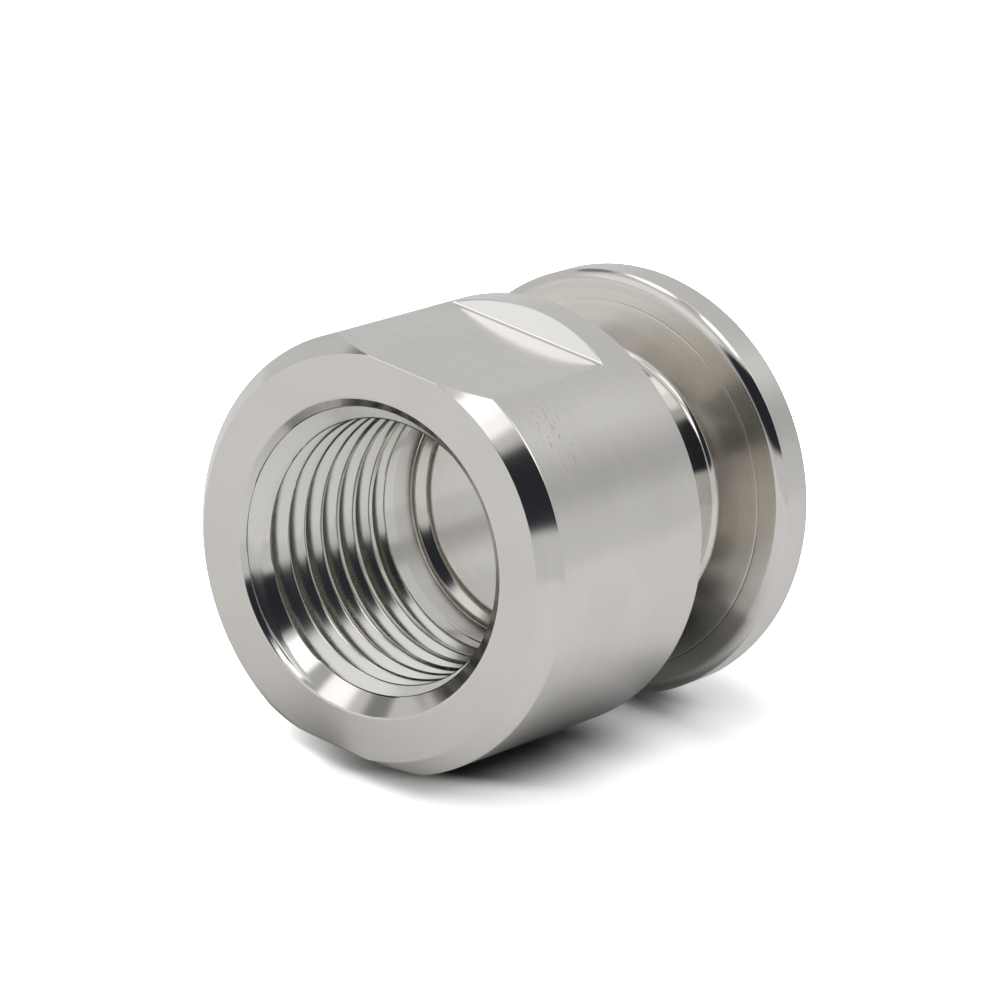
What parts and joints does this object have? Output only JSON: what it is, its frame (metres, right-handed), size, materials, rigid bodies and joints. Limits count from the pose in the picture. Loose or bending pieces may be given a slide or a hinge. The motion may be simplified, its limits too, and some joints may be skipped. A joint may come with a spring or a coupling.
{
  "type": "vacuum flange to pipe thread adapter",
  "caption": "Turned steel adapter from a clamped vacuum flange to a female tapered pipe thread, with two wrench flats.",
  "frame": {"origin": "centre of the clamp flange's sealing face, on the bore axis", "axes": "+Y along the bore axis, out of the sealing face; -Y out of the threaded port; +Z out of one wrench flat; the part lies on its side, as in the picture"},
  "size_m": [0.03, 0.03, 0.03],
  "materials": {
    "turned_steel": "bare stainless steel, fine turned, with polished chamfers"
  },
  "bodies": {
    "root": {"adapter": "turned_steel"}
  },
  "joints": []
}
